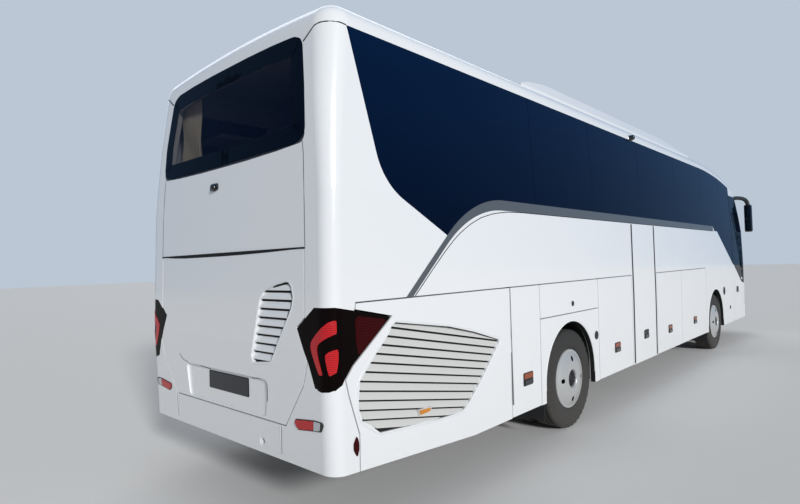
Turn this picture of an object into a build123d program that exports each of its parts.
from build123d import *
import math
import os

# Coach bus, in millimetres. X points forward, Y to the left, Z up. The origin is on the ground,
# below the middle of the vehicle's length and width.
# Stations along the body are given as distances from its rear end: at(station) gives their X.

# Overall sizes
LENGTH = 12295.0
HALF_WIDTH = 1275.0
SKIRT = 380.0
CROWN = 3560.0
EAVE = 3480.0
EAVE_ROUND = 170.0
HEIGHT = 3770.0

# Wall layers and gaps
WALL = 60.0
FLAP_WALL = 40.0
FLAP_SEAT = 46.0
GLASS = 8.0
SEAT = 0.3
SEAM = 10.0
DOOR_SEAM = 12.0
REBATE = 40.0
STRAIGHT = 0.97

# Stations from the rear end
REAR_AXLE = 3285.0
WHEELBASE = 6080.0
FRONT_AXLE = REAR_AXLE + WHEELBASE
ROOF_SEAM = 390.0
RADIATOR_FRONT = 2060.0
BATTERY_FRONT = 2590.0
ARCH_FLAP_FRONT = 3950.0
MID_DOOR_REAR = 5050.0
MID_DOOR_FRONT = 5960.0
HOLD_SPLIT = 7164.0
HOLD_FRONT = 8640.0
DOOR_REAR = 10880.0
DOOR_FRONT = 11740.0
ROOF_DROP = 8660.0
ROOF_DROP_RADIUS = 13800.0

# Heights
WAIST = 1530.0
ARCH_LINE = 1200.0
TRIM_LOW = 2205.0
TRIM_TOP = 2295.0
GLASS_TOP = 3336.0
ENGINE_FLAP_TOP = 1888.0
BUMPER_TOP = 720.0
LAMP_FOOT = 1003.0
HOLD_FLOOR = 440.0
CABIN_FLOOR = 1350.0
FLOOR_THICKNESS = 40.0
FRONT_DOOR_TOP = 2640.0
SCREEN_FOOT = 1180.0
SCREEN_TOP = 3110.0

# Wheels and axles
TYRE_RADIUS = 510.0
TYRE_WIDTH = 295.0
RIM_RADIUS = 286.0
HUB_HEIGHT = TYRE_RADIUS
TRACK_HALF = 1088.0
TWIN_STEP = 340.0
ARCH_RADIUS = 565.0
ARCH_SHIFT = -35.0
ARCH_CENTRE = 550.0
HOUSE_INNER = 545.0
HOUSE_SHEET = 15.0
STUB_RADIUS = 45.0
RUN_GAP = 0.1
KINGPIN_RADIUS = 22.0
KINGPIN_OUT = 1000.0

REAR_X = -LENGTH / 2
RIGHT, LEFT = -1, 1
SIDES = (("right", RIGHT), ("left", LEFT))
FAR = HALF_WIDTH + 60.0
NEAR = HALF_WIDTH - 200.0

os.makedirs("parts", exist_ok=True)


def at(station):
    """X of a station measured from the rear end."""
    return REAR_X + station


def save(block, name):
    """Label a finished piece and write it."""
    block.part.label = name
    export_step(block.part, f"parts/{name}.step")


# Body form: height, half width, rear setback, rear corner, front setback, front corner
BODY_SECTIONS = [
    (SKIRT, HALF_WIDTH - 13.0, 25.0, 100.0, 30.0, 360.0),
    (1250.0, HALF_WIDTH, 0.0, 100.0, 0.0, 370.0),
    (2250.0, HALF_WIDTH, 30.0, 105.0, 105.0, 400.0),
    (2550.0, HALF_WIDTH - 17.0, 46.0, 120.0, 190.0, 420.0),
    (2850.0, HALF_WIDTH - 34.0, 66.0, 140.0, 340.0, 440.0),
    (3600.0, HALF_WIDTH - 76.0, 150.0, 190.0, 900.0, 460.0),
]
FRONT_BOW = 150.0
FILLET_FROM = 2900.0


def plan_section(height, half_width, rear, rear_corner, front, front_corner, inset):
    """Plan outline of the body at one height: flat rear, bowed front, round corners."""
    tail = at(rear + inset)
    nose = at(LENGTH - front - inset)
    side = half_width - inset
    with BuildSketch(Plane.XY.offset(height)) as section:
        with BuildLine():
            corners = [
                (tail, -side),
                (nose - FRONT_BOW, -side),
                (nose - FRONT_BOW, side),
                (tail, side),
            ]
            Line(corners[0], corners[1])
            ThreePointArc(corners[1], (nose, 0), corners[2])
            Polyline(corners[2], corners[3], corners[0])
        make_face()
        ends = section.vertices().group_by(Axis.X)
        fillet(ends[0], rear_corner - inset)
        fillet(section.vertices().group_by(Axis.X)[-1], front_corner - inset)
    return section.sketch


def roof_block(inset):
    """All that lies below the crowned roof, which drops along an arc towards the front."""
    crown, eave = CROWN - inset, EAVE - inset
    reach = HALF_WIDTH * 1.1
    start = at(ROOF_DROP)
    centre = crown - ROOF_DROP_RADIUS
    with BuildPart() as block:
        with BuildSketch(Plane.YZ.offset(start)) as profile:
            with BuildLine():
                ThreePointArc((-reach, eave), (0, crown), (reach, eave))
                Polyline((reach, eave), (reach, -CROWN), (-reach, -CROWN), (-reach, eave))
            make_face()
        extrude(profile.sketch, amount=REAR_X - start - WALL * 2)
        revolve(profile.sketch, axis=Axis((start, 0, centre), (0, 1, 0)), revolution_arc=20)
    return block.part


# The skirt rises towards the rear end
SKIRT_RISE = [(-300.0, 300.0), (1480.0, 300.0), (1480.0, SKIRT), (100.0, 477.0), (-300.0, 505.0)]


def side_prism(outline, near, far, grow=0.0):
    """Prism across the body from a side view outline of stations and heights."""
    with BuildPart() as prism:
        with BuildSketch(Plane.XZ.offset(-near)):
            with BuildLine():
                Polyline(*[(at(station), height) for station, height in outline], close=True)
            make_face()
            if grow:
                offset(amount=grow, kind=Kind.INTERSECTION)
        extrude(amount=near - far)
    return prism.part


def sharp_corners(face):
    """Vertices where a sketch's outline turns by more than a few degrees."""
    sharp = []
    for vertex in face.vertices():
        joined = [edge for edge in face.edges() if vertex in edge.vertices()]
        directions = [edge.tangent_at(0) for edge in joined]
        if abs(directions[0].dot(directions[1])) < STRAIGHT:
            sharp.append(vertex)
    return sharp


def end_prism(outline, rear, front, grow=0.0, corner=0.0):
    """Prism along the body from an outline of Y and heights, between two stations."""
    with BuildPart() as prism:
        with BuildSketch(Plane.YZ.offset(at(rear))) as face:
            with BuildLine():
                Polyline(*outline, close=True)
            make_face()
            if corner:
                fillet(sharp_corners(face), corner)
            if grow:
                offset(amount=grow, kind=Kind.INTERSECTION)
        extrude(amount=front - rear)
    return prism.part


def block(rear, front, right, left, low, high):
    """Box between two stations, two Y and two heights."""
    with BuildPart() as box:
        with BuildSketch(Plane.XY.offset(low)):
            with BuildLine():
                Polyline(
                    (at(rear), right), (at(front), right), (at(front), left), (at(rear), left), close=True
                )
            make_face()
        extrude(amount=high - low)
    return box.part


def rod(centre, direction, radius, length):
    """Cylinder from a point along a direction."""
    with BuildPart() as bar:
        with BuildSketch(Plane(origin=centre, z_dir=direction)):
            Circle(radius)
        extrude(amount=length)
    return bar.part


def body_form(inset):
    """Solid body down to a layer: lofted plan outlines under the roof, with a rounded eave."""
    with BuildPart() as form:
        for section in BODY_SECTIONS:
            add(plan_section(*section, inset))
        loft(ruled=True)
        add(roof_block(inset), mode=Mode.INTERSECT)
        high = [edge for edge in form.edges() if edge.bounding_box().min.Z > FILLET_FROM]
        fillet(high, EAVE_ROUND - inset)
        add(side_prism(SKIRT_RISE, -FAR, FAR), mode=Mode.SUBTRACT)
    return form.part


def layer(outer, inner):
    """What lies between two depths below the body's surface."""
    with BuildPart() as shell:
        add(outer)
        add(inner, mode=Mode.SUBTRACT)
    return shell.part


def shape(source, keep=(), remove=(), join=()):
    """A source solid kept inside some solids, without others, with more joined to it."""
    with BuildPart() as piece:
        add(source)
        for solid in keep:
            add(solid, mode=Mode.INTERSECT)
        if remove:
            add(remove, mode=Mode.SUBTRACT)
        if join:
            add(join)
    return piece


def mirrored(source):
    """The same piece on the other side."""
    with BuildPart() as piece:
        mirror(source, about=Plane.XZ)
    return piece


surface = body_form(0.0)
below_glass = body_form(GLASS)
below_seat = body_form(GLASS + SEAT)
below_flap = body_form(FLAP_WALL)
below_flap_seat = body_form(FLAP_SEAT)
inside = body_form(WALL)
cabin = body_form(WALL + SEAT)

skin = layer(surface, inside)
flap_skin = layer(surface, below_flap)
pane_skin = layer(surface, below_glass)


def pocket(prism, floor):
    """Prism cut off at a depth below the surface, to sink a pocket to that depth."""
    return shape(prism, remove=[floor]).part


def across(outline, side, grow=0.0):
    """Side view prism through one wall only."""
    return side_prism(outline, side * NEAR, side * FAR, grow)


# Tail lamps, which wrap round the corner: rear view in Y and height, side view in stations
LAMP_REAR = [(1128.0, 1511.0), (956.0, 1376.0), (1057.0, 1178.0), (1120.0, 1010.0), (1340.0, 1003.0),
             (1340.0, 1511.0)]
LAMP_SIDE = [(-60.0, 1511.0), (60.0, 1511.0), (226.0, 1478.0), (536.0, 1413.0), (187.0, 1144.0),
             (118.0, 1063.0), (36.0, 1024.0), (-60.0, 1005.0)]
LAMP_WRAP = 60.0


def lamp_space(side, grow):
    """Space of one tail lamp, over the rear face and round the corner."""
    rear_view = [(side * across_y, height) for across_y, height in LAMP_REAR]
    with BuildPart() as space:
        add(end_prism(rear_view, -LAMP_WRAP, LAMP_WRAP, grow))
        add(side_prism(LAMP_SIDE, side * (HALF_WIDTH - WALL), side * FAR, grow))
    return space.part


# Side glass: rear edge, then the sill, which follows the trim strip and the front sweep
TRIM_BEND = (1546.0, TRIM_TOP)
TRIM_FOOT = (698.0, WAIST)
TRIM_RADIUS = 1200.0
TRIM_FRONT = 9300.0
TRIM_NARROW = 50.0
GLASS_REAR_FOOT = (1190.0, 1975.0)
GLASS_REAR_BEND = (514.0, 2312.0)
GLASS_REAR_HEAD = (268.0, GLASS_TOP)
GLASS_REAR_RADIUS = 450.0
SWEEP_BEND = (9592.0, TRIM_LOW)
SWEEP_FOOT = (11540.0, SCREEN_FOOT)
SWEEP_RADIUS = 1500.0


def station_points(points):
    return [(at(station), height) for station, height in points]


def glass_line(station):
    """Height of the glass's upper edge, which follows the roof's drop."""
    run = max(0.0, station - ROOF_DROP)
    radius = ROOF_DROP_RADIUS - (CROWN - GLASS_TOP)
    return GLASS_TOP - radius + math.sqrt(radius**2 - run**2)


def glass_region(side, front, grow=0.0, through=FAR):
    """Region of the side glass as a prism through one wall."""
    bend_slope = (TRIM_BEND[1] - TRIM_FOOT[1]) / (TRIM_BEND[0] - TRIM_FOOT[0])
    sweep_slope = (SWEEP_FOOT[1] - SWEEP_BEND[1]) / (SWEEP_FOOT[0] - SWEEP_BEND[0])
    foot = (GLASS_REAR_FOOT[0], TRIM_FOOT[1] + bend_slope * (GLASS_REAR_FOOT[0] - TRIM_FOOT[0]))
    head = (front, glass_line(front))
    middle = (ROOF_DROP + front) / 2
    sweep_end = (front, SWEEP_BEND[1] + sweep_slope * (front - SWEEP_BEND[0]))
    with BuildPart() as region:
        with BuildSketch(Plane.XZ.offset(-side * NEAR)):
            with BuildLine():
                FilletPolyline(
                    *station_points([foot, GLASS_REAR_BEND, GLASS_REAR_HEAD]), radius=GLASS_REAR_RADIUS
                )
                Line(*station_points([GLASS_REAR_HEAD, (ROOF_DROP, GLASS_TOP)]))
                ThreePointArc(
                    *station_points([(ROOF_DROP, GLASS_TOP), (middle, glass_line(middle)), head])
                )
                Line(*station_points([head, sweep_end]))
                Polyline(
                    *station_points([sweep_end, SWEEP_BEND, (TRIM_FRONT + 90.0, TRIM_LOW),
                                     (TRIM_FRONT, TRIM_TOP)])
                )
                FilletPolyline(
                    *station_points([(TRIM_FRONT, TRIM_TOP), TRIM_BEND, foot]), radius=TRIM_RADIUS
                )
            make_face()
            if grow:
                offset(amount=grow, kind=Kind.INTERSECTION)
        extrude(amount=side * (NEAR - through))
    return region.part



def trim_region(side, grow=0.0):
    """Region of the trim strip below the side glass, narrower where it runs down to the waist."""
    rise, run = TRIM_BEND[1] - TRIM_FOOT[1], TRIM_BEND[0] - TRIM_FOOT[0]
    low_foot = (TRIM_FOOT[0] + TRIM_NARROW * math.hypot(rise, run) / rise, TRIM_FOOT[1])
    low_bend = (low_foot[0] + (TRIM_LOW - TRIM_FOOT[1]) * run / rise, TRIM_LOW)
    with BuildPart() as region:
        with BuildSketch(Plane.XZ.offset(-side * NEAR)):
            with BuildLine():
                FilletPolyline(
                    *station_points([(TRIM_FRONT, TRIM_TOP), TRIM_BEND, TRIM_FOOT]), radius=TRIM_RADIUS
                )
                Line(*station_points([TRIM_FOOT, low_foot]))
                FilletPolyline(
                    *station_points([low_foot, low_bend, (TRIM_FRONT, TRIM_LOW)]), radius=TRIM_RADIUS
                )
                Line(*station_points([(TRIM_FRONT, TRIM_LOW), (TRIM_FRONT, TRIM_TOP)]))
            make_face()
            if grow:
                offset(amount=grow, kind=Kind.INTERSECTION)
        extrude(amount=side * (NEAR - FAR))
    return region.part


# Flaps that lift on a hinge along the waist: name, rear, front, low, high
COMMON_FLAPS = [
    ("battery", RADIATOR_FRONT, BATTERY_FRONT, SKIRT, WAIST),
    ("arch", BATTERY_FRONT, ARCH_FLAP_FRONT, ARCH_LINE, WAIST),
    ("hold_front", HOLD_SPLIT, HOLD_FRONT, SKIRT, WAIST),
]
RIGHT_FLAPS = [
    ("hold_rear", ARCH_FLAP_FRONT, 5015.0, SKIRT, WAIST),
    ("hold_middle", 5995.0, HOLD_SPLIT, SKIRT, WAIST),
]
LEFT_FLAPS = [
    ("hold_rear", ARCH_FLAP_FRONT, 5500.0, SKIRT, WAIST),
    ("hold_middle", 5500.0, HOLD_SPLIT, SKIRT, WAIST),
]
# Radiator flap beside the engine, which follows the tail lamp and swings on its front edge
RADIATOR_OUTLINE = [(225.0, WAIST), (RADIATOR_FRONT, WAIST), (RADIATOR_FRONT, SKIRT - 60.0),
                    (235.0, SKIRT - 60.0), (235.0, 700.0), (150.0, 960.0), (125.0, 1060.0)]
# Engine flap across the rear, half outline in Y and height
ENGINE_FLAP_HALF = [(1033.0, ENGINE_FLAP_TOP), (1033.0, 1400.0), (1060.0, 1180.0), (1000.0, 1010.0),
                    (787.0, BUMPER_TOP)]
REAR_DEPTH = 260.0


def rectangle(rear, front, low, high):
    return [(rear, low), (front, low), (front, high), (rear, high)]


def both_halves(half):
    """Full outline from the half on the left."""
    return half + [(-across_y, height) for across_y, height in reversed(half)]


# The right side's layers, on which its panels are cut
right_half = block(-100.0, DOOR_REAR + 20.0, -FAR, -NEAR, SKIRT - 60.0, CROWN)
right_skin = shape(skin, keep=[right_half]).part
right_flap_skin = shape(flap_skin, keep=[right_half]).part
right_panes = shape(pane_skin, keep=[right_half]).part
right_seat_floor = shape(below_flap_seat, keep=[right_half]).part
lamp_cut = lamp_space(RIGHT, SEAT)
lamp_clear = lamp_space(RIGHT, SEAM)

# Hinges: barrels in the middle of the seam, on the outer surface, with a leaf into the flap
BARREL_RADIUS = 4.7
BARREL_LENGTH = 120.0
LEAF = 3.0
LEAF_LENGTH = 30.0


def surface_reach(station, height):
    """How far out the body's surface lies at a station and height."""
    probe = shape(right_skin, keep=[block(station, station + 1.0, -FAR, -NEAR, height, height + 1.0)])
    return -probe.part.bounding_box().min.Y


waist_reach = surface_reach(HOLD_SPLIT + 5.0, WAIST)


def waist_hinges(rear, front):
    """Barrels and leaves of one flap that hangs from the waist."""
    quarter = (front - rear) / 4
    pieces = []
    for middle in (rear + quarter, front - quarter):
        start = middle - BARREL_LENGTH / 2
        pieces.append(rod((at(start), -waist_reach, WAIST), (1, 0, 0), BARREL_RADIUS, BARREL_LENGTH))
        pieces.append(
            block(start, start + BARREL_LENGTH, -waist_reach, LEAF - waist_reach, WAIST - LEAF_LENGTH, WAIST)
        )
    return pieces


def upright_hinges():
    """Barrels and leaves of a radiator flap, on its front edge."""
    pieces = []
    for middle in (1440.0, 1230.0, 1020.0):
        low = middle - BARREL_LENGTH / 2
        pieces.append(rod((at(RADIATOR_FRONT), -waist_reach, low), (0, 0, 1), BARREL_RADIUS, BARREL_LENGTH))
        pieces.append(
            block(RADIATOR_FRONT - LEAF_LENGTH, RADIATOR_FRONT, -waist_reach, 2 * LEAF - waist_reach, low,
                  low + BARREL_LENGTH)
        )
    return pieces


def waist_flap(rear, front, low, high):
    """One flap of the right side with its hinge barrels."""
    prism = across(rectangle(rear, front, low, high), RIGHT, -SEAM / 2)
    return shape(right_flap_skin, keep=[prism], join=waist_hinges(rear, front))


# Flaps
for name, *span in COMMON_FLAPS:
    flap = waist_flap(*span)
    save(flap, f"flap_{name}_right")
    save(mirrored(flap.part), f"flap_{name}_left")
for name, *span in RIGHT_FLAPS:
    save(waist_flap(*span), f"flap_{name}_right")
for name, *span in LEFT_FLAPS:
    save(mirrored(waist_flap(*span).part), f"flap_{name}_left")

# Recesses for the side louvre, the louvre in the engine flap and the number plate
SIDE_GRILLE = [(585.0, 1371.0), (1180.0, 1279.0), (1500.0, 1204.0), (1850.0, 1100.0), (1872.0, 1080.0),
               (1717.0, 927.0), (1582.0, 798.0), (1423.0, 664.0), (1350.0, 620.0), (1276.0, 604.0),
               (1010.0, 614.0), (656.0, 645.0), (420.0, 664.0), (366.0, 706.0), (263.0, 774.0),
               (229.0, 870.0), (245.0, 1030.0), (375.0, 1168.0), (523.0, 1306.0), (545.0, 1350.0)]
SIDE_GRILLE_FLOOR = HALF_WIDTH - 30.0
REAR_GRILLE = [(-705.0, 1648.0), (-824.0, 1670.0), (-859.0, 1668.0), (-886.0, 1641.0), (-907.0, 1575.0),
               (-894.0, 1509.0), (-853.0, 1441.0), (-693.0, 1193.0), (-645.0, 1129.0), (-422.0, 1106.0),
               (-408.0, 1154.0), (-441.0, 1247.0), (-523.0, 1550.0), (-565.0, 1604.0)]
REAR_GRILLE_FLOOR = 34.0
PLATE_RECESS = [(-600.0, 1000.0), (600.0, 1000.0), (560.0, 740.0), (-560.0, 740.0)]
PLATE_FLOOR = 28.0
GRILLE_CORNER = 40.0
side_recess = side_prism(SIDE_GRILLE, -SIDE_GRILLE_FLOOR, -FAR)
end_recesses = [end_prism(REAR_GRILLE, -80.0, REAR_GRILLE_FLOOR),
                end_prism(PLATE_RECESS, -80.0, PLATE_FLOOR, 0.0, GRILLE_CORNER)]

# Louvre blades: each leans out and down, with a short lip; the side ones slope down to the front.
# A blade's section is measured outwards from the recess's floor and upwards from the blade's line.
BLADE = [(-5.0, 30.0), (21.0, -20.0), (21.0, -27.0), (14.0, -27.0), (-5.0, 14.0)]
SIDE_BLADES = 12
SIDE_BLADE_TOP = 1416.5
SIDE_BLADE_PITCH = 61.5
BLADE_SLOPE = -0.194
BLADE_START = 200.0
BLADE_ORIGIN = 330.0
BLADE_RUN = 1700.0
REAR_BLADES = 9
REAR_BLADE_TOP = 1641.0
REAR_BLADE_PITCH = 60.7


def side_blades():
    """The blades of the right side's louvre, longer than the recess."""
    with BuildPart() as blades:
        for index in range(SIDE_BLADES):
            height = SIDE_BLADE_TOP - SIDE_BLADE_PITCH * index
            height += BLADE_SLOPE * (BLADE_START - BLADE_ORIGIN)
            with BuildSketch(Plane.YZ.offset(at(BLADE_START))):
                with BuildLine():
                    Polyline(*[(-SIDE_GRILLE_FLOOR - out, height + up) for out, up in BLADE], close=True)
                make_face()
            extrude(amount=BLADE_RUN, dir=(1, 0, BLADE_SLOPE))
    return blades.part


def rear_blades():
    """The level blades of the rear louvre, longer than the recess."""
    with BuildPart() as blades:
        for index in range(REAR_BLADES):
            height = REAR_BLADE_TOP - REAR_BLADE_PITCH * index
            with BuildSketch(Plane.XZ):
                with BuildLine():
                    Polyline(*[(at(REAR_GRILLE_FLOOR - out), height + up) for out, up in BLADE], close=True)
                make_face()
            extrude(amount=HALF_WIDTH)
    return blades.part


side_louvre = shape(side_blades(), keep=[side_recess, below_glass]).part
rear_louvre = shape(rear_blades(), keep=[end_recesses[0], below_glass]).part

radiator_prism = across(RADIATOR_OUTLINE, RIGHT, -SEAM / 2)
radiator_flap = shape(right_flap_skin, keep=[radiator_prism], remove=[lamp_clear, side_recess],
                      join=[*upright_hinges(), side_louvre])
save(radiator_flap, "flap_radiator_right")
save(mirrored(radiator_flap.part), "flap_radiator_left")

engine_outline = both_halves(ENGINE_FLAP_HALF)
engine_prism = end_prism(engine_outline, -80.0, REAR_DEPTH, -SEAM / 2)
engine_cut = end_prism(engine_outline, -80.0, REAR_DEPTH, SEAM / 2)
rear_probe = shape(surface, keep=[block(-80.0, REAR_DEPTH, -1.0, 1.0, ENGINE_FLAP_TOP, ENGINE_FLAP_TOP + 1.0)])
engine_hinge_x = rear_probe.part.bounding_box().min.X
engine_barrels = []
hinge_station = engine_hinge_x - REAR_X
for centre_y in (-560.0, 0.0, 560.0):
    low_y, high_y = centre_y - BARREL_LENGTH / 2, centre_y + BARREL_LENGTH / 2
    engine_barrels.append(
        rod((engine_hinge_x, low_y, ENGINE_FLAP_TOP), (0, 1, 0), BARREL_RADIUS, BARREL_LENGTH)
    )
    engine_barrels.append(
        block(hinge_station, hinge_station + 4 * LEAF, low_y, high_y, ENGINE_FLAP_TOP - LEAF_LENGTH,
              ENGINE_FLAP_TOP - SEAM / 2)
    )
    engine_barrels.append(
        block(hinge_station, hinge_station + LEAF, low_y, high_y, ENGINE_FLAP_TOP - LEAF_LENGTH,
              ENGINE_FLAP_TOP)
    )
rear_half = block(-100.0, REAR_DEPTH, -FAR, FAR, SKIRT, CROWN)
both_lamps_clear = [lamp_clear, mirrored(lamp_clear).part]
save(
    shape(flap_skin, keep=[rear_half, engine_prism], remove=[*both_lamps_clear, *end_recesses],
          join=[*engine_barrels, rear_louvre]),
    "engine_flap",
)

# Tail lamps
tail_lamp = shape(skin, keep=[lamp_space(RIGHT, 0.0)]).part
save(shape(tail_lamp, join=[mirrored(tail_lamp).part]), "tail_lamps")

# Walls with their window openings, flap pockets, wheel arches and door openings
# Window openings behind the glass, in stations: rear, front
WINDOWS = [(1340.0, 2545.0), (2635.0, 3905.0), (3995.0, 5460.0), (5550.0, 7119.0), (7209.0, 8655.0),
           (8745.0, 9930.0), (10020.0, 10800.0)]
WINDOW_MARGIN = 60.0
REAR_WINDOW = [(500.0, 2560.0), (700.0, 2400.0), (1250.0, 2355.0), (1250.0, GLASS_TOP - WINDOW_MARGIN),
               (345.0, GLASS_TOP - WINDOW_MARGIN)]
PANE_SEAMS = [2590.0, 3950.0, 5505.0, 7164.0, 8700.0, 9975.0]
PANE_SEAM = 6.0


def window_outline(rear, front):
    low = TRIM_TOP + WINDOW_MARGIN
    return [(rear, low), (front, low), (front, glass_line(front) - WINDOW_MARGIN),
            (rear, glass_line(rear) - WINDOW_MARGIN)]


def arch_cut(axle, near, radius):
    """Wheel arch opening in the right side: a half round above straight sides."""
    centre = at(axle + ARCH_SHIFT)
    with BuildPart() as cut:
        with BuildSketch(Plane.XZ.offset(near)):
            with Locations((centre, ARCH_CENTRE)):
                Circle(radius)
            with Locations((centre, (ARCH_CENTRE + SKIRT) / 2 - 50.0)):
                Rectangle(2 * radius, ARCH_CENTRE - SKIRT + 100.0)
        extrude(amount=FAR - near)
    return cut.part


def flap_cuts(table):
    """Pockets for the flaps and the openings behind them."""
    cuts = []
    for name, *span in table:
        cuts.append(pocket(across(rectangle(*span), RIGHT, SEAM / 2), right_seat_floor))
        cuts.append(across(rectangle(*span), RIGHT, -REBATE))
    return cuts


LOWER_WALL = [(235.0, SKIRT - 60.0), (235.0, WAIST), TRIM_FOOT, (1185.0, 1972.0), TRIM_BEND,
              (TRIM_FRONT, TRIM_TOP), (SWEEP_BEND[0], TRIM_TOP), (DOOR_REAR - SEAM / 2, 1700.0),
              (DOOR_REAR - SEAM / 2, SKIRT - 60.0)]
mid_door_outline = rectangle(MID_DOOR_REAR, MID_DOOR_FRONT, SKIRT - 60.0, TRIM_LOW)

glass_zone = glass_region(RIGHT, DOOR_REAR - SEAM / 2)
wall_zone = shape(across(LOWER_WALL, RIGHT), join=[glass_zone]).part
cuts = [pocket(glass_region(RIGHT, DOOR_REAR, SEAT), below_seat), lamp_cut]
cuts.append(pocket(across(RADIATOR_OUTLINE, RIGHT, SEAM / 2), right_seat_floor))
cuts.append(across(rectangle(-100.0, RADIATOR_FRONT - REBATE, SKIRT - 60.0, WAIST - REBATE), RIGHT))
cuts.append(pocket(trim_region(RIGHT, SEAT), below_seat))
cuts.extend(flap_cuts(COMMON_FLAPS))
cuts.append(across(REAR_WINDOW, RIGHT))
for rear, front in WINDOWS:
    cuts.append(across(window_outline(rear, front), RIGHT))
for axle in (REAR_AXLE, FRONT_AXLE):
    cuts.append(arch_cut(axle, NEAR, ARCH_RADIUS))
common_wall = shape(right_skin, keep=[wall_zone], remove=cuts).part
door_cut = across(mid_door_outline, RIGHT, DOOR_SEAM / 2)
save(shape(common_wall, remove=[*flap_cuts(RIGHT_FLAPS), door_cut]), "wall_right")
save(mirrored(shape(common_wall, remove=flap_cuts(LEFT_FLAPS)).part), "wall_left")

trim_strip = shape(right_panes, keep=[trim_region(RIGHT)]).part
save(shape(trim_strip, join=[mirrored(trim_strip).part]), "trim_strips")

seams = [
    across(rectangle(station - PANE_SEAM / 2, station + PANE_SEAM / 2, WAIST, CROWN), RIGHT)
    for station in PANE_SEAMS
]
side_glass = shape(right_panes, keep=[glass_zone], remove=seams)
save(side_glass, "side_glass_right")


# Roof between its rear seam and the front, above the glass line; the cap closes it at the rear
CAP_LINE = 3290.0
FRONT_SEAM = DOOR_REAR - SEAM / 2


def roof_zone():
    """Everything above the glass line, across the whole body."""
    middle = (ROOF_DROP + FRONT_SEAM) / 2
    with BuildPart() as zone:
        with BuildSketch(Plane.XZ.offset(-FAR)):
            with BuildLine():
                Polyline(*station_points([(FRONT_SEAM, glass_line(FRONT_SEAM)), (FRONT_SEAM, CROWN + WALL),
                                          (ROOF_SEAM, CROWN + WALL), (ROOF_SEAM, GLASS_TOP),
                                          (ROOF_DROP, GLASS_TOP)]))
                ThreePointArc(*station_points([(ROOF_DROP, GLASS_TOP), (middle, glass_line(middle)),
                                               (FRONT_SEAM, glass_line(FRONT_SEAM))]))
            make_face()
        extrude(amount=2 * FAR)
    return zone.part


# Rear window, half outline in Y and height
REAR_PANE_HALF = [(320.0, 2553.0), (720.0, 2561.0), (1035.0, 2575.0), (916.0, 3262.0), (640.0, 3292.0),
                  (280.0, 3314.0)]
REAR_PANE_CORNER = 60.0
REAR_OPENING_HALF = [(320.0, 2603.0), (720.0, 2611.0), (975.0, 2623.0), (874.0, 3214.0), (640.0, 3242.0),
                     (280.0, 3264.0)]
REAR_OPENING_CORNER = 20.0


def window_prism(grow):
    """Rear window: crowned above and below, with round corners."""
    return end_prism(both_halves(REAR_PANE_HALF), -100.0, 400.0, grow, REAR_PANE_CORNER)


cap_outline = [(-100.0, CAP_LINE), (279.0, CAP_LINE), (268.0, GLASS_TOP), (ROOF_SEAM, GLASS_TOP),
               (ROOF_SEAM, CROWN + WALL), (-100.0, CROWN + WALL)]
cap_zone = side_prism(cap_outline, -FAR, FAR)
rear_opening = end_prism(both_halves(REAR_OPENING_HALF), -100.0, 400.0, 0.0, REAR_OPENING_CORNER)
rear_pane_cut = [pocket(window_prism(SEAT), below_seat), rear_opening]
save(shape(skin, keep=[roof_zone()]), "roof")
save(shape(skin, keep=[cap_zone], remove=rear_pane_cut), "rear_roof_cap")
save(shape(pane_skin, keep=[window_prism(0.0)]), "rear_glass")

REAR_FRAME_FOOT = 1300.0
radiator_cut = across(RADIATOR_OUTLINE, RIGHT, SEAM / 2)
both_zones = [wall_zone, mirrored(wall_zone).part]
both_lamps_cut = [lamp_cut, mirrored(lamp_cut).part]
both_radiators = [radiator_cut, mirrored(radiator_cut).part]
rear_cuts = [engine_cut, *both_lamps_cut, *both_radiators]
rear_zone = block(-100.0, 1600.0, -FAR, FAR, REAR_FRAME_FOOT, CAP_LINE)
rear_skin = shape(skin, keep=[block(-100.0, 1600.0, -FAR, FAR, SKIRT, CROWN)]).part
rear_surround = shape(rear_skin, keep=[rear_zone], remove=rear_pane_cut).part
save(shape(rear_surround, remove=[*both_zones, *rear_cuts]), "rear_frame")

# Bumpers, with a threaded tow socket in each
TOW_BORE = 20.0
TOW_DEPTH = 80.0
TOW_BOSS = 34.0
REAR_TOW_Y = -500.0
FRONT_TOW_Y = 500.0
TOW_HEIGHT = 560.0
BUMPER_REAR_END = 235.0
BUMPER_SIDE_TOP = 1200.0
FRONT_BUMPER_REAR = DOOR_FRONT + 12.0
FRONT_BUMPER_TOP = 640.0


def face_x(y, height, forward):
    """X of the body's front or rear surface at a place."""
    span = (LENGTH - 1500.0, LENGTH + 50.0) if forward else (-50.0, 600.0)
    probe = shape(surface, keep=[block(*span, y - 0.5, y + 0.5, height, height + 1.0)])
    box = probe.part.bounding_box()
    return box.max.X if forward else box.min.X


# Each socket opens in a flat round seat, a little below the bumper's surface
rear_tow_x = face_x(REAR_TOW_Y, TOW_HEIGHT, False) + 4.0
front_tow_x = face_x(FRONT_TOW_Y, TOW_HEIGHT, True) - 4.0
rear_bumper_zone = block(-100.0, BUMPER_REAR_END, -FAR, FAR, SKIRT - 60.0, BUMPER_SIDE_TOP)
rear_bumper = shape(rear_skin, keep=[rear_bumper_zone], remove=rear_cuts,
                    join=[rod((rear_tow_x, REAR_TOW_Y, TOW_HEIGHT), (1, 0, 0), TOW_BOSS, TOW_DEPTH + 20.0)])
rear_bore = [rod((rear_tow_x, REAR_TOW_Y, TOW_HEIGHT), (1, 0, 0), TOW_BORE, TOW_DEPTH),
             rod((rear_tow_x, REAR_TOW_Y, TOW_HEIGHT), (-1, 0, 0), TOW_BOSS, WALL)]
save(shape(rear_bumper.part, remove=rear_bore), "rear_bumper")

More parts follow.
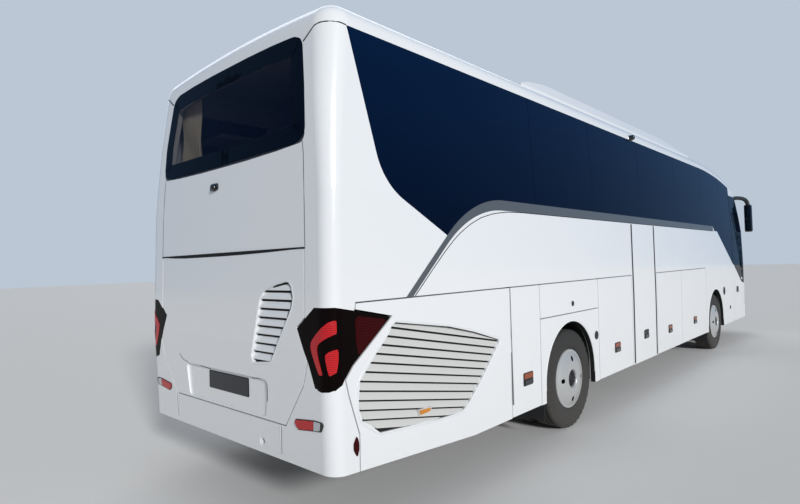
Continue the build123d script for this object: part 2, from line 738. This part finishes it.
front_half = block(FRONT_SEAM, LENGTH + 100.0, -FAR, FAR, SKIRT - 60.0, CROWN)
front_skin = shape(skin, keep=[front_half]).part
front_bumper_zone = block(FRONT_BUMPER_REAR, LENGTH + 100.0, -FAR, FAR, SKIRT - 60.0, FRONT_BUMPER_TOP)
front_bumper = shape(front_skin, keep=[front_bumper_zone],
                     join=[rod((front_tow_x, FRONT_TOW_Y, TOW_HEIGHT), (-1, 0, 0), TOW_BOSS, TOW_DEPTH + 20.0)])
front_bore = [rod((front_tow_x, FRONT_TOW_Y, TOW_HEIGHT), (-1, 0, 0), TOW_BORE, TOW_DEPTH),
              rod((front_tow_x, FRONT_TOW_Y, TOW_HEIGHT), (1, 0, 0), TOW_BOSS, WALL)]
save(shape(front_bumper.part, remove=front_bore), "front_bumper")

# Front end: windscreen, driver's window, door opening and head lamps
LAMP_FRONT = [(640.0, 700.0), (1080.0, 760.0), (1180.0, 930.0), (1150.0, 985.0), (700.0, 850.0)]
SCREEN_HALF = [(1130.0, SCREEN_FOOT), (1090.0, SCREEN_TOP - 30.0)]
SCREEN_REAR = 11300.0
SCREEN_CORNER = 70.0
DRIVER_WINDOW = [(10935.0, 1610.0), (11250.0, 1440.0), (11660.0, 1440.0), (11640.0, FRONT_DOOR_TOP - 35.0),
                 (10935.0, FRONT_DOOR_TOP - 35.0)]
DOOR_WINDOW = [(DOOR_REAR + 25.0, 1590.0), (11520.0, 1250.0), (DOOR_FRONT - 25.0, 1250.0),
               (DOOR_FRONT - 25.0, FRONT_DOOR_TOP - 25.0), (DOOR_REAR + 25.0, FRONT_DOOR_TOP - 25.0)]
FRAME_WIDTH = 55.0
front_door_outline = rectangle(DOOR_REAR, DOOR_FRONT, SKIRT - 60.0, FRONT_DOOR_TOP)


def screen_prism(grow):
    """Windscreen outline seen from the front."""
    return end_prism(both_halves(SCREEN_HALF), SCREEN_REAR, LENGTH + 100.0, grow, SCREEN_CORNER)


def head_lamp_prism(side, grow):
    outline = [(side * across_y, height) for across_y, height in LAMP_FRONT]
    return end_prism(outline, SCREEN_REAR, LENGTH + 100.0, grow)


front_cuts = [front_bumper_zone, across(front_door_outline, RIGHT, DOOR_SEAM / 2)]
front_cuts.append(pocket(screen_prism(SEAT), below_seat))
front_cuts.append(screen_prism(-FRAME_WIDTH))
front_cuts.append(pocket(across(DRIVER_WINDOW, LEFT, SEAT), below_seat))
front_cuts.append(across(DRIVER_WINDOW, LEFT, -FRAME_WIDTH))
for side in (RIGHT, LEFT):
    front_cuts.append(head_lamp_prism(side, SEAT))
save(shape(front_skin, remove=front_cuts), "front_frame")
driver_pane = shape(pane_skin, keep=[across(DRIVER_WINDOW, LEFT)]).part
save(shape(mirrored(side_glass.part).part, join=[driver_pane]), "side_glass_left")
save(shape(pane_skin, keep=[screen_prism(0.0)]), "windscreen")
head_lamp = shape(flap_skin, keep=[head_lamp_prism(RIGHT, 0.0)])
save(shape(head_lamp.part, join=[mirrored(head_lamp.part).part]), "headlamps")

# Doors: panels as thick as the wall, carried on swing arms that stand inside the doorway
ARM_LENGTH = 500.0
ARM_ANGLE = 3.0
ARM_ROOT = 230.0
ARM_Y = -1185.0
ARM_HALF = 18.0
ARM_SHEET = 20.0
POST_RADIUS = 20.0
PIN_RADIUS = 12.0
EYE_RADIUS = 19.0
LUG_GAP = 1.0
LUG_SHEET = 12.0
PANEL_INNER = -(HALF_WIDTH - WALL)


def swing_arms(post, eye, heights, post_low, post_high):
    """Post with its arms, each a slotted bar from the post to a pin eye at the door panel."""
    middle = ((post[0] + eye[0]) / 2, (post[1] + eye[1]) / 2)
    turn = math.degrees(math.atan2(eye[1] - post[1], eye[0] - post[0]))
    with BuildPart() as arms:
        with BuildSketch(Plane.XY.offset(post_low)):
            with Locations(post):
                Circle(POST_RADIUS)
        extrude(amount=post_high - post_low)
        for height in heights:
            with BuildSketch(Plane.XY.offset(height)):
                with Locations(Location((*middle, 0), turn)):
                    SlotCenterToCenter(ARM_LENGTH, 2 * EYE_RADIUS)
                with Locations(eye):
                    Circle(PIN_RADIUS + RUN_GAP, mode=Mode.SUBTRACT)
            extrude(amount=ARM_SHEET)
    return arms


def panel_lugs(eye, heights):
    """Lugs and pins that hold a door panel to the eyes of its arms."""
    pieces = []
    for height in heights:
        low, high = height - LUG_GAP - LUG_SHEET, height + ARM_SHEET + LUG_GAP + LUG_SHEET
        station = eye[0] - REAR_X
        pieces.append(rod((*eye, low), (0, 0, 1), PIN_RADIUS, high - low))
        for lug in (low, high - LUG_SHEET):
            pieces.append(
                block(station - EYE_RADIUS, station + EYE_RADIUS, PANEL_INNER - 5.0, eye[1] + PIN_RADIUS,
                      lug, lug + LUG_SHEET)
            )
    return pieces


def arm_places(station, toward):
    """Post and eye of a door's arms, in X and Y."""
    angle = math.radians(ARM_ANGLE)
    post = (at(station), ARM_Y + ARM_LENGTH * math.sin(angle))
    return post, (post[0] + toward * ARM_LENGTH * math.cos(angle), ARM_Y)


mid_post, mid_eye = arm_places(MID_DOOR_REAR + ARM_ROOT, 1)
front_post, front_eye = arm_places(DOOR_FRONT - ARM_ROOT, -1)
MID_ARMS = (700.0, 1850.0)
FRONT_ARMS = (700.0, 1150.0)
POST_FOOT = 560.0
mid_panel = shape(right_skin, keep=[across(mid_door_outline, RIGHT, -DOOR_SEAM / 2)],
                  join=panel_lugs(mid_eye, MID_ARMS))
save(mid_panel, "mid_door")
save(swing_arms(mid_post, mid_eye, MID_ARMS, POST_FOOT, MID_ARMS[1] + 120.0), "mid_door_arms")
front_panel = shape(front_skin, keep=[across(front_door_outline, RIGHT, -DOOR_SEAM / 2)],
                    remove=[pocket(across(DOOR_WINDOW, RIGHT, SEAT), below_seat),
                            across(DOOR_WINDOW, RIGHT, -FRAME_WIDTH)],
                    join=panel_lugs(front_eye, FRONT_ARMS))
save(front_panel, "front_door")
save(shape(pane_skin, keep=[across(DOOR_WINDOW, RIGHT)]), "front_door_glass")
save(swing_arms(front_post, front_eye, FRONT_ARMS, POST_FOOT, FRONT_ARMS[1] + 120.0), "front_door_arms")

# Floors, bulkheads and steps, trimmed to the inside of the walls
DECK_REAR = 315.0
DECK_FRONT = 10300.0
PLATFORM = 880.0
PLATFORM_FRONT = 12150.0
STAIR_SHEET = 15.0
STAIR_OUTER = -1195.0
MID_STAIR_INNER = -300.0
FRONT_STAIR_INNER = -485.0
TREAD = 30.0
HOLD_REAR_WALL = 3925.0
HOLD_FRONT_WALL = 8665.0

mid_well = (MID_DOOR_REAR - 5.0, MID_DOOR_FRONT + 5.0)
front_well = (DOOR_REAR + 10.0, DOOR_FRONT - 5.0)


def well_cut(span, inner):
    return block(*span, -FAR, inner, SKIRT - 60.0, CABIN_FLOOR + 10.0)


def stairs(span, inner, low, high, steps):
    """Folded treads and risers between two heights, with a cheek plate at each side."""
    rise = (high - low) / steps
    deep = (inner - STAIR_OUTER) / steps
    line = [(STAIR_OUTER, low)]
    for step in range(steps):
        line.append((STAIR_OUTER + deep * (step + 1), low + rise * step))
        line.append((STAIR_OUTER + deep * (step + 1), low + rise * (step + 1)))
    under = [(across_y + TREAD, height - TREAD) for across_y, height in reversed(line)]
    rear, front = span
    with BuildPart() as flight:
        with BuildSketch(Plane.YZ.offset(at(rear))):
            with BuildLine():
                Polyline(*line, *under[:-1], (STAIR_OUTER, low - TREAD), close=True)
            make_face()
        extrude(amount=front - rear)
        for start in (rear, front - STAIR_SHEET):
            add(block(start, start + STAIR_SHEET, STAIR_OUTER, inner + TREAD, low - TREAD, high))
    return flight.part


def post_bracket(post, toward, height):
    """Plate from the wall beside a doorway to the post of its arms, with the post's bore."""
    station = post[0] - REAR_X
    outer = PANEL_INNER + SEAT
    beside = station - toward * (ARM_ROOT + 90.0)
    edges = sorted((station, beside))
    well_edge = PANEL_INNER + 30.0
    with BuildPart() as plate:
        add(block(*edges, well_edge, post[1] + POST_RADIUS + 12.0, height, height + STAIR_SHEET))
        wall_edges = sorted((beside, station - toward * (ARM_ROOT + 20.0)))
        add(block(*wall_edges, outer, well_edge, height, height + STAIR_SHEET))
        add(rod((*post, height), (0, 0, 1), POST_RADIUS + 12.0, STAIR_SHEET))
        add(rod((*post, height - 1.0), (0, 0, 1), POST_RADIUS + RUN_GAP, STAIR_SHEET + 2.0), mode=Mode.SUBTRACT)
    return plate.part


brackets = []
for post, toward, arms in ((mid_post, 1, MID_ARMS), (front_post, -1, FRONT_ARMS)):
    for height in (POST_FOOT + 20.0, arms[1] + 60.0):
        brackets.append(post_bracket(post, toward, height))
steps = shape(
    stairs(mid_well, MID_STAIR_INNER, HOLD_FLOOR, CABIN_FLOOR, 5),
    join=[stairs(front_well, FRONT_STAIR_INNER, HOLD_FLOOR, PLATFORM, 2), *brackets],
)
save(shape(steps.part, keep=[cabin]), "entry_steps")

deck = block(DECK_REAR, DECK_FRONT, -FAR, FAR, CABIN_FLOOR - FLOOR_THICKNESS, CABIN_FLOOR)
platform = block(DECK_FRONT, PLATFORM_FRONT, -FAR, FAR, PLATFORM - FLOOR_THICKNESS, PLATFORM)
riser = block(DECK_FRONT, DECK_FRONT + STAIR_SHEET, -FAR, FAR, PLATFORM - FLOOR_THICKNESS, CABIN_FLOOR)
floor_cuts = [well_cut(mid_well, MID_STAIR_INNER + TREAD + SEAT),
              well_cut(front_well, FRONT_STAIR_INNER + TREAD + SEAT)]
floors = shape(deck, join=[platform, riser]).part
save(shape(floors, keep=[cabin], remove=floor_cuts), "cabin_floor")

hold_floor = block(HOLD_REAR_WALL, HOLD_FRONT_WALL + STAIR_SHEET, -FAR, FAR, HOLD_FLOOR - FLOOR_THICKNESS,
                   HOLD_FLOOR)
under_deck = CABIN_FLOOR - FLOOR_THICKNESS - SEAT
walls_across = [
    block(start, start + STAIR_SHEET, -FAR, FAR, HOLD_FLOOR - FLOOR_THICKNESS, under_deck)
    for start in (HOLD_REAR_WALL, HOLD_FRONT_WALL)
]
walls_across.append(block(DECK_REAR - STAIR_SHEET, DECK_REAR - SEAT, -FAR, FAR, HOLD_FLOOR, ENGINE_FLAP_TOP + 30.0))
shelf = block(40.0, DECK_REAR - SEAT, -FAR, FAR, ENGINE_FLAP_TOP + 15.0, ENGINE_FLAP_TOP + 30.0)
hold = shape(hold_floor, join=[*walls_across, shelf]).part
save(shape(hold, keep=[cabin], remove=[well_cut(mid_well, MID_STAIR_INNER + TREAD + SEAT)]), "hold_and_bulkheads")

# Frame rails fore and aft of the hold, with the jacking pads
RAIL_INNER = 370.0
RAIL_OUTER = 450.0
FRONT_RAIL = (HOLD_FRONT_WALL + STAIR_SHEET + SEAT, 11900.0, 650.0, 770.0)
REAR_RAIL = (DECK_REAR + SEAT, HOLD_REAR_WALL - SEAT, 700.0, 835.0)
CROSS_WIDTH = 80.0
CROSS_PLACES = (8850.0, 10150.0, 11700.0)
REAR_CROSS_PLACES = (2150.0, 3750.0)
PAD_RADIUS = 60.0
PAD_FOOT = 400.0
PADS = [(8850.0 + CROSS_WIDTH / 2, 650.0), (2150.0 + CROSS_WIDTH / 2, 700.0)]

with BuildPart() as frame_rails:
    for rear, front, low, high in (FRONT_RAIL, REAR_RAIL):
        for side in (RIGHT, LEFT):
            edges = sorted((side * RAIL_INNER, side * RAIL_OUTER))
            add(block(rear, front, *edges, low, high))
    for place in CROSS_PLACES:
        add(block(place, place + CROSS_WIDTH, -RAIL_OUTER, RAIL_OUTER, FRONT_RAIL[2], FRONT_RAIL[3] - 20.0))
    for place in REAR_CROSS_PLACES:
        add(block(place, place + CROSS_WIDTH, -RAIL_OUTER, RAIL_OUTER, REAR_RAIL[2], REAR_RAIL[3] - 20.0))
    for place, top in PADS:
        for side in (RIGHT, LEFT):
            add(rod((at(place), side * (RAIL_INNER + RAIL_OUTER) / 2, PAD_FOOT), (0, 0, 1), PAD_RADIUS,
                    top - PAD_FOOT + 5.0))
save(frame_rails, "frame_rails")

# Wheelhouses: a round tunnel behind each arch, closed by an inner plate with a slot for the axle
HOUSE_RADIUS = 600.0
HOUSE_FOOT = 400.0
AXLE_SLOT = 130.0


def tunnel_prism(axle, radius, near, far):
    """Half round above straight sides, as a prism across the right side."""
    centre = at(axle + ARCH_SHIFT)
    with BuildPart() as prism:
        with BuildSketch(Plane.XZ.offset(near)):
            with Locations((centre, ARCH_CENTRE)):
                Circle(radius)
            with Locations((centre, (ARCH_CENTRE + HOUSE_FOOT) / 2)):
                Rectangle(2 * radius, ARCH_CENTRE - HOUSE_FOOT)
        extrude(amount=far - near)
    return prism.part


houses = []
for axle in (REAR_AXLE, FRONT_AXLE):
    keep_above = block(axle - 800.0, axle + 800.0, -FAR, 0.0, HOUSE_FOOT, CABIN_FLOOR)
    house = shape(
        tunnel_prism(axle, HOUSE_RADIUS + HOUSE_SHEET, HOUSE_INNER, HALF_WIDTH),
        keep=[cabin, keep_above],
        remove=[
            tunnel_prism(axle, HOUSE_RADIUS, HOUSE_INNER + HOUSE_SHEET, FAR),
            block(axle - AXLE_SLOT, axle + AXLE_SLOT, -FAR, -HOUSE_INNER + 10.0, 0.0,
                  HUB_HEIGHT + AXLE_SLOT),
        ],
    ).part
    houses.extend([house, mirrored(house).part])
save(shape(houses[0], join=houses[1:]), "wheelhouses")

# Wheels: half width from the middle plane outwards, then radius
BEAD_HALF = 112.0
TYRE_HALF = TYRE_WIDTH / 2
FLANGE = 10.0
FLANGE_RADIUS = 304.0
TYRE_PROFILE = [(BEAD_HALF, RIM_RADIUS), (BEAD_HALF, FLANGE_RADIUS + 2.0), (TYRE_HALF - 6.0, 350.0),
                (TYRE_HALF, 405.0), (132.0, 478.0),
                (118.0, TYRE_RADIUS - 4.0), (100.0, TYRE_RADIUS)]
RIM_OUTER = RIM_RADIUS - SEAT
RIM_INNER = RIM_RADIUS - 12.0
HUB_BORE = STUB_RADIUS + RUN_GAP
FRONT_RIM = [
    (-BEAD_HALF, RIM_INNER), (30.0, RIM_INNER), (52.0, 250.0), (62.0, 200.0), (48.0, 150.0), (46.0, 120.0),
    (0.0, 110.0), (0.0, HUB_BORE), (64.0, HUB_BORE), (64.0, 0.0), (118.0, 0.0), (122.0, 40.0), (116.0, 78.0),
    (76.0, 92.0), (66.0, 150.0), (80.0, 200.0), (70.0, 255.0), (BEAD_HALF, RIM_INNER + 2.0),
    (BEAD_HALF + FLANGE, RIM_INNER + 4.0), (BEAD_HALF + FLANGE, FLANGE_RADIUS),
    (BEAD_HALF + SEAT, FLANGE_RADIUS), (BEAD_HALF + SEAT, RIM_OUTER), (-BEAD_HALF - SEAT, RIM_OUTER),
    (-BEAD_HALF - SEAT, FLANGE_RADIUS), (-BEAD_HALF - FLANGE, FLANGE_RADIUS), (-BEAD_HALF - FLANGE, RIM_INNER),
]


def ring(axle, middle, side, profile):
    """Revolve a profile of widths and radii about a wheel's axis."""
    spin = Axis((at(axle), 0, HUB_HEIGHT), (0, 1, 0))
    points = [(side * (middle + width), HUB_HEIGHT + radius) for width, radius in profile]
    with BuildPart() as turned:
        with BuildSketch(Plane.YZ.offset(at(axle))):
            with BuildLine():
                Polyline(*points, close=True)
            make_face()
        revolve(axis=spin)
    return turned.part


full_tyre = TYRE_PROFILE + [(-width, radius) for width, radius in reversed(TYRE_PROFILE)]
front_rim = ring(FRONT_AXLE, TRACK_HALF, RIGHT, FRONT_RIM)
front_tyre = ring(FRONT_AXLE, TRACK_HALF, RIGHT, full_tyre)
save(shape(front_rim), "wheel_front_right")
save(mirrored(front_rim), "wheel_front_left")
save(shape(front_tyre), "tyre_front_right")
save(mirrored(front_tyre), "tyre_front_left")

# Twin rims about a hub: widths are measured from the outer wheel's middle plane
REAR_STUB_RADIUS = 60.0
REAR_BORE = REAR_STUB_RADIUS + RUN_GAP
DISC_OUT = -TWIN_STEP / 2 + 14.0
DISC_IN = -TWIN_STEP / 2 - 14.0
INNER_EDGE = -TWIN_STEP - BEAD_HALF
OUTER_EDGE = BEAD_HALF
TWIN_RIM = [
    (INNER_EDGE, RIM_INNER), (DISC_IN, RIM_INNER), (DISC_IN, 130.0), (-TWIN_STEP + 30.0, 120.0),
    (-TWIN_STEP + 30.0, REAR_BORE), (-40.0, REAR_BORE), (-40.0, 0.0), (30.0, 0.0), (36.0, 50.0), (20.0, 95.0),
    (-60.0, 115.0), (DISC_OUT, 140.0), (DISC_OUT + 14.0, 200.0), (DISC_OUT, RIM_INNER),
    (OUTER_EDGE + FLANGE, RIM_INNER), (OUTER_EDGE + FLANGE, FLANGE_RADIUS), (OUTER_EDGE + SEAT, FLANGE_RADIUS),
    (OUTER_EDGE + SEAT, RIM_OUTER), (-BEAD_HALF - SEAT, RIM_OUTER), (-BEAD_HALF - SEAT, FLANGE_RADIUS),
    (-BEAD_HALF - FLANGE, FLANGE_RADIUS), (-TWIN_STEP + BEAD_HALF + FLANGE, FLANGE_RADIUS),
    (-TWIN_STEP + BEAD_HALF + SEAT, FLANGE_RADIUS), (-TWIN_STEP + BEAD_HALF + SEAT, RIM_OUTER),
    (INNER_EDGE - SEAT, RIM_OUTER), (INNER_EDGE - SEAT, FLANGE_RADIUS), (INNER_EDGE - FLANGE, FLANGE_RADIUS),
    (INNER_EDGE - FLANGE, RIM_INNER),
]
rear_rim = ring(REAR_AXLE, TRACK_HALF, RIGHT, TWIN_RIM)
outer_tyre = ring(REAR_AXLE, TRACK_HALF, RIGHT, full_tyre)
inner_tyre = ring(REAR_AXLE, TRACK_HALF - TWIN_STEP, RIGHT, full_tyre)
rear_tyres = shape(outer_tyre, join=[inner_tyre]).part
save(shape(rear_rim), "wheel_rear_right")
save(mirrored(rear_rim), "wheel_rear_left")
save(shape(rear_tyres), "tyres_rear_right")
save(mirrored(rear_tyres), "tyres_rear_left")

# Front axle beam and steering knuckles
BEAM_HALF = 45.0
BEAM_LOW = HUB_HEIGHT - 55.0
BEAM_HIGH = HUB_HEIGHT + 55.0
BEAM_DROP = 60.0
EYE = 40.0
YOKE = 30.0
STUB_END = TRACK_HALF + 60.0
BELLOWS_RADIUS = 110.0
front_x, rear_x = at(FRONT_AXLE), at(REAR_AXLE)

with BuildPart() as front_axle:
    with BuildSketch(Plane.YZ.offset(front_x - BEAM_HALF)):
        with BuildLine():
            Polyline(
                (-KINGPIN_OUT, BEAM_LOW), (-KINGPIN_OUT + 160.0, BEAM_LOW), (-620.0, BEAM_LOW - BEAM_DROP),
                (620.0, BEAM_LOW - BEAM_DROP), (KINGPIN_OUT - 160.0, BEAM_LOW), (KINGPIN_OUT, BEAM_LOW),
                (KINGPIN_OUT, BEAM_HIGH), (KINGPIN_OUT - 200.0, BEAM_HIGH), (620.0, BEAM_HIGH - BEAM_DROP),
                (-620.0, BEAM_HIGH - BEAM_DROP), (-KINGPIN_OUT + 200.0, BEAM_HIGH), (-KINGPIN_OUT, BEAM_HIGH),
                close=True,
            )
        make_face()
    extrude(amount=2 * BEAM_HALF)
    for side in (RIGHT, LEFT):
        add(block(FRONT_AXLE - 60.0, FRONT_AXLE + 60.0, side * KINGPIN_OUT - 45.0, side * KINGPIN_OUT + 45.0,
                  0.0, PLATFORM), mode=Mode.SUBTRACT)
        add(rod((front_x, side * KINGPIN_OUT, BEAM_LOW), (0, 0, 1), EYE, BEAM_HIGH - BEAM_LOW))
        edges = sorted((side * (KINGPIN_OUT - 46.0), side * (KINGPIN_OUT - 30.0)))
        add(block(FRONT_AXLE - EYE * 0.6, FRONT_AXLE + EYE * 0.6, *edges, BEAM_LOW, BEAM_HIGH))
        add(rod((front_x, side * KINGPIN_OUT, BEAM_LOW - 5.0), (0, 0, 1), KINGPIN_RADIUS + RUN_GAP,
                BEAM_HIGH - BEAM_LOW + 10.0), mode=Mode.SUBTRACT)
        add(rod((front_x, side * (RAIL_INNER + RAIL_OUTER) / 2, BEAM_HIGH - BEAM_DROP - 5.0), (0, 0, 1),
                BELLOWS_RADIUS, FRONT_RAIL[2] - SEAT - (BEAM_HIGH - BEAM_DROP - 5.0)))
save(front_axle, "front_axle")

yoke_low, yoke_high = BEAM_LOW - LUG_GAP - YOKE, BEAM_HIGH + LUG_GAP
with BuildPart() as knuckle:
    for low in (yoke_low, yoke_high):
        with BuildSketch(Plane.XY.offset(low)):
            with Locations((front_x, -KINGPIN_OUT)):
                Circle(EYE)
            with Locations((front_x, -KINGPIN_OUT - 38.0)):
                Rectangle(2 * EYE, 76.0)
        extrude(amount=YOKE)
    add(rod((front_x, -KINGPIN_OUT, yoke_low), (0, 0, 1), KINGPIN_RADIUS, yoke_high + YOKE - yoke_low))
    add(block(FRONT_AXLE - EYE, FRONT_AXLE + EYE, -KINGPIN_OUT - 76.0, -KINGPIN_OUT - 46.0, yoke_low,
              yoke_high + YOKE))
    add(rod((front_x, -KINGPIN_OUT - 60.0, HUB_HEIGHT), (0, -1, 0), STUB_RADIUS, STUB_END - KINGPIN_OUT - 60.0))
save(knuckle, "knuckle_right")
save(mirrored(knuckle.part), "knuckle_left")

# Drive axle with its gear casing, and the engine as one plain block between the rails
CASING_RADIUS = 210.0
HOUSING_RADIUS = 80.0
REAR_STUB_END = TRACK_HALF - 45.0
with BuildPart() as rear_axle:
    add(rod((rear_x, -REAR_STUB_END, HUB_HEIGHT), (0, 1, 0), REAR_STUB_RADIUS, 2 * REAR_STUB_END))
    add(rod((rear_x, -700.0, HUB_HEIGHT), (0, 1, 0), HOUSING_RADIUS, 1400.0))
    with BuildSketch(Plane.XZ.offset(-160.0)):
        with Locations((rear_x, HUB_HEIGHT)):
            Circle(CASING_RADIUS)
    extrude(amount=320.0)
    fillet(rear_axle.edges().filter_by(GeomType.CIRCLE).filter_by(lambda e: abs(e.radius - CASING_RADIUS) < 1), 60.0)
    for side in (RIGHT, LEFT):
        add(rod((rear_x, side * (RAIL_INNER + RAIL_OUTER) / 2, HUB_HEIGHT), (0, 0, 1), BELLOWS_RADIUS,
                REAR_RAIL[2] - SEAT - HUB_HEIGHT))
save(rear_axle, "rear_axle")

ENGINE = (420.0, 2000.0, 470.0, 1240.0)
with BuildPart() as engine:
    add(block(ENGINE[0], ENGINE[1], -RAIL_INNER + SEAT, RAIL_INNER - SEAT, ENGINE[2], ENGINE[3]))
save(engine, "engine")

# Seats: one outline for cushion, back and headrest, repeated along both sides of the aisle
SEAT_OUTLINE = [(0.0, 0.0), (0.0, 330.0), (-30.0, 450.0), (440.0, 470.0), (440.0, 370.0), (90.0, 330.0),
                (90.0, 0.0)]
BACK_OUTLINE = [(-40.0, 440.0), (70.0, 440.0), (-40.0, 1080.0), (-90.0, 1220.0), (-170.0, 1220.0),
                (-170.0, 1120.0)]
SEAT_PITCH = 800.0
SEAT_ROWS = 12
FIRST_ROW = 620.0
SEAT_INNER = 290.0
SEAT_OUTER = 1180.0
WELL_ROWS = (5, 6)


def seat_row(station, right, left, floor):
    """A pair of seats facing forward with its foot at a station."""
    with BuildPart() as pair:
        for outline in (SEAT_OUTLINE, BACK_OUTLINE):
            with BuildSketch(Plane.XZ.offset(-right)):
                with BuildLine():
                    Polyline(*[(at(station + 170.0 + along), floor + height) for along, height in outline],
                             close=True)
                make_face()
            extrude(amount=right - left)
    return pair.part


seats = []
for row in range(SEAT_ROWS):
    station = FIRST_ROW + row * SEAT_PITCH
    seats.append(seat_row(station, SEAT_INNER, SEAT_OUTER, CABIN_FLOOR + SEAT))
    if row not in WELL_ROWS:
        seats.append(seat_row(station, -SEAT_OUTER, -SEAT_INNER, CABIN_FLOOR + SEAT))
seats.append(seat_row(10900.0, 380.0, 860.0, PLATFORM + SEAT))
with BuildPart() as all_seats:
    add(seats)
save(all_seats, "seats")

# Luggage racks along the cabin, above the windows
RACK = (450.0, 10200.0, 2980.0, 3020.0)
racks = []
for side in (RIGHT, LEFT):
    edges = sorted((side * 720.0, side * FAR))
    racks.append(shape(block(RACK[0], RACK[1], *edges, RACK[2], RACK[3]), keep=[cabin]).part)
save(shape(racks[0], join=racks[1:]), "luggage_racks")

# Dashboard and steering wheel
DASH_OUTLINE = [(11760.0, PLATFORM + SEAT), (12230.0, PLATFORM + SEAT), (12230.0, 1130.0), (11900.0, 1150.0),
                (11800.0, 1100.0)]
WHEEL_CENTRE = (11640.0, 620.0, 1500.0)
WHEEL_LEAN = 28.0
with BuildPart() as dashboard:
    add(side_prism(DASH_OUTLINE, -HALF_WIDTH, HALF_WIDTH))
    add(cabin, mode=Mode.INTERSECT)
lean = math.radians(WHEEL_LEAN)
wheel_axis = (math.cos(lean + math.pi / 2 - 2 * lean), 0, -math.sin(lean + math.pi / 2 - 2 * lean))
hub = (at(WHEEL_CENTRE[0]), WHEEL_CENTRE[1], WHEEL_CENTRE[2])
with BuildPart() as steering_wheel:
    with BuildSketch(Plane(origin=hub, z_dir=wheel_axis)):
        Circle(225.0)
        Circle(200.0, mode=Mode.SUBTRACT)
        Rectangle(420.0, 40.0)
        Circle(60.0)
    extrude(amount=24.0)
    add(rod(hub, wheel_axis, 30.0, 460.0))
save(shape(dashboard.part, join=[steering_wheel.part]), "dashboard")

# Roof unit, seated on the roof
UNIT_OUTLINE = [(2790.0, 3400.0), (2860.0, 3600.0), (3050.0, 3665.0), (3480.0, 3735.0), (4600.0, HEIGHT + 60.0),
                (6900.0, HEIGHT + 60.0), (7700.0, 3735.0), (8400.0, 3665.0), (8900.0, 3590.0),
                (8990.0, 3400.0)]
near_surface = body_form(-SEAT)
with BuildPart() as roof_unit:
    with BuildSketch(Plane.YZ.offset(at(2780.0))) as unit_face:
        with BuildLine():
            Polyline((-1010.0, 3400.0), (-1010.0, 3600.0), (-930.0, 3742.0))
            ThreePointArc((-930.0, 3742.0), (0, HEIGHT), (930.0, 3742.0))
            Polyline((930.0, 3742.0), (1010.0, 3600.0), (1010.0, 3400.0), (-1010.0, 3400.0))
        make_face()
    extrude(amount=6230.0)
    add(side_prism(UNIT_OUTLINE, -FAR, FAR), mode=Mode.INTERSECT)
    add(near_surface, mode=Mode.SUBTRACT)
save(roof_unit, "roof_unit")

# Mirrors on curved arms from the windscreen pillars
MIRROR_ROUTE = [(11430.0, 1090.0, 2960.0), (11800.0, 1230.0, 3010.0), (12110.0, 1340.0, 2960.0),
                (12140.0, 1360.0, 2800.0)]
MIRROR_ARM = 28.0
MIRROR_HEAD = (12080.0, 12185.0, 1285.0, 1435.0, 2250.0, 2860.0)
with BuildPart() as mirror_block:
    route = [(at(station), -across_y, height) for station, across_y, height in MIRROR_ROUTE]
    with BuildLine() as path:
        FilletPolyline(*route, radius=90.0)
    with BuildSketch(Plane(origin=path.line @ 0, z_dir=path.line % 0)):
        Circle(MIRROR_ARM)
    sweep()
    add(near_surface, mode=Mode.SUBTRACT)
rear, front, near, far, low, high = MIRROR_HEAD
with BuildPart() as mirror_head:
    add(block(rear, front, -far, -near, low, high))
    fillet(mirror_head.edges(), 30.0)
whole_mirror = shape(mirror_block.part, join=[mirror_head.part]).part
save(shape(whole_mirror, join=[mirrored(whole_mirror).part]), "mirrors")

# Wipers, which lie on the windscreen
WIPER_ARM = [(120.0, 1150.0), (150.0, 1150.0), (640.0, 1560.0), (620.0, 1580.0)]
WIPER_BLADE = [(250.0, 1490.0), (262.0, 1475.0), (1010.0, 1660.0), (1000.0, 1680.0)]
with BuildPart() as wipers:
    add(layer(body_form(-24.0), near_surface))
    shapes = []
    for outline in (WIPER_ARM, WIPER_BLADE):
        for side in (RIGHT, LEFT):
            shapes.append(end_prism([(side * across_y, height) for across_y, height in outline],
                                    SCREEN_REAR, LENGTH + 200.0))
    with BuildPart(mode=Mode.PRIVATE) as wiper_shapes:
        add(shapes)
    add(wiper_shapes.part, mode=Mode.INTERSECT)
save(wipers, "wipers")
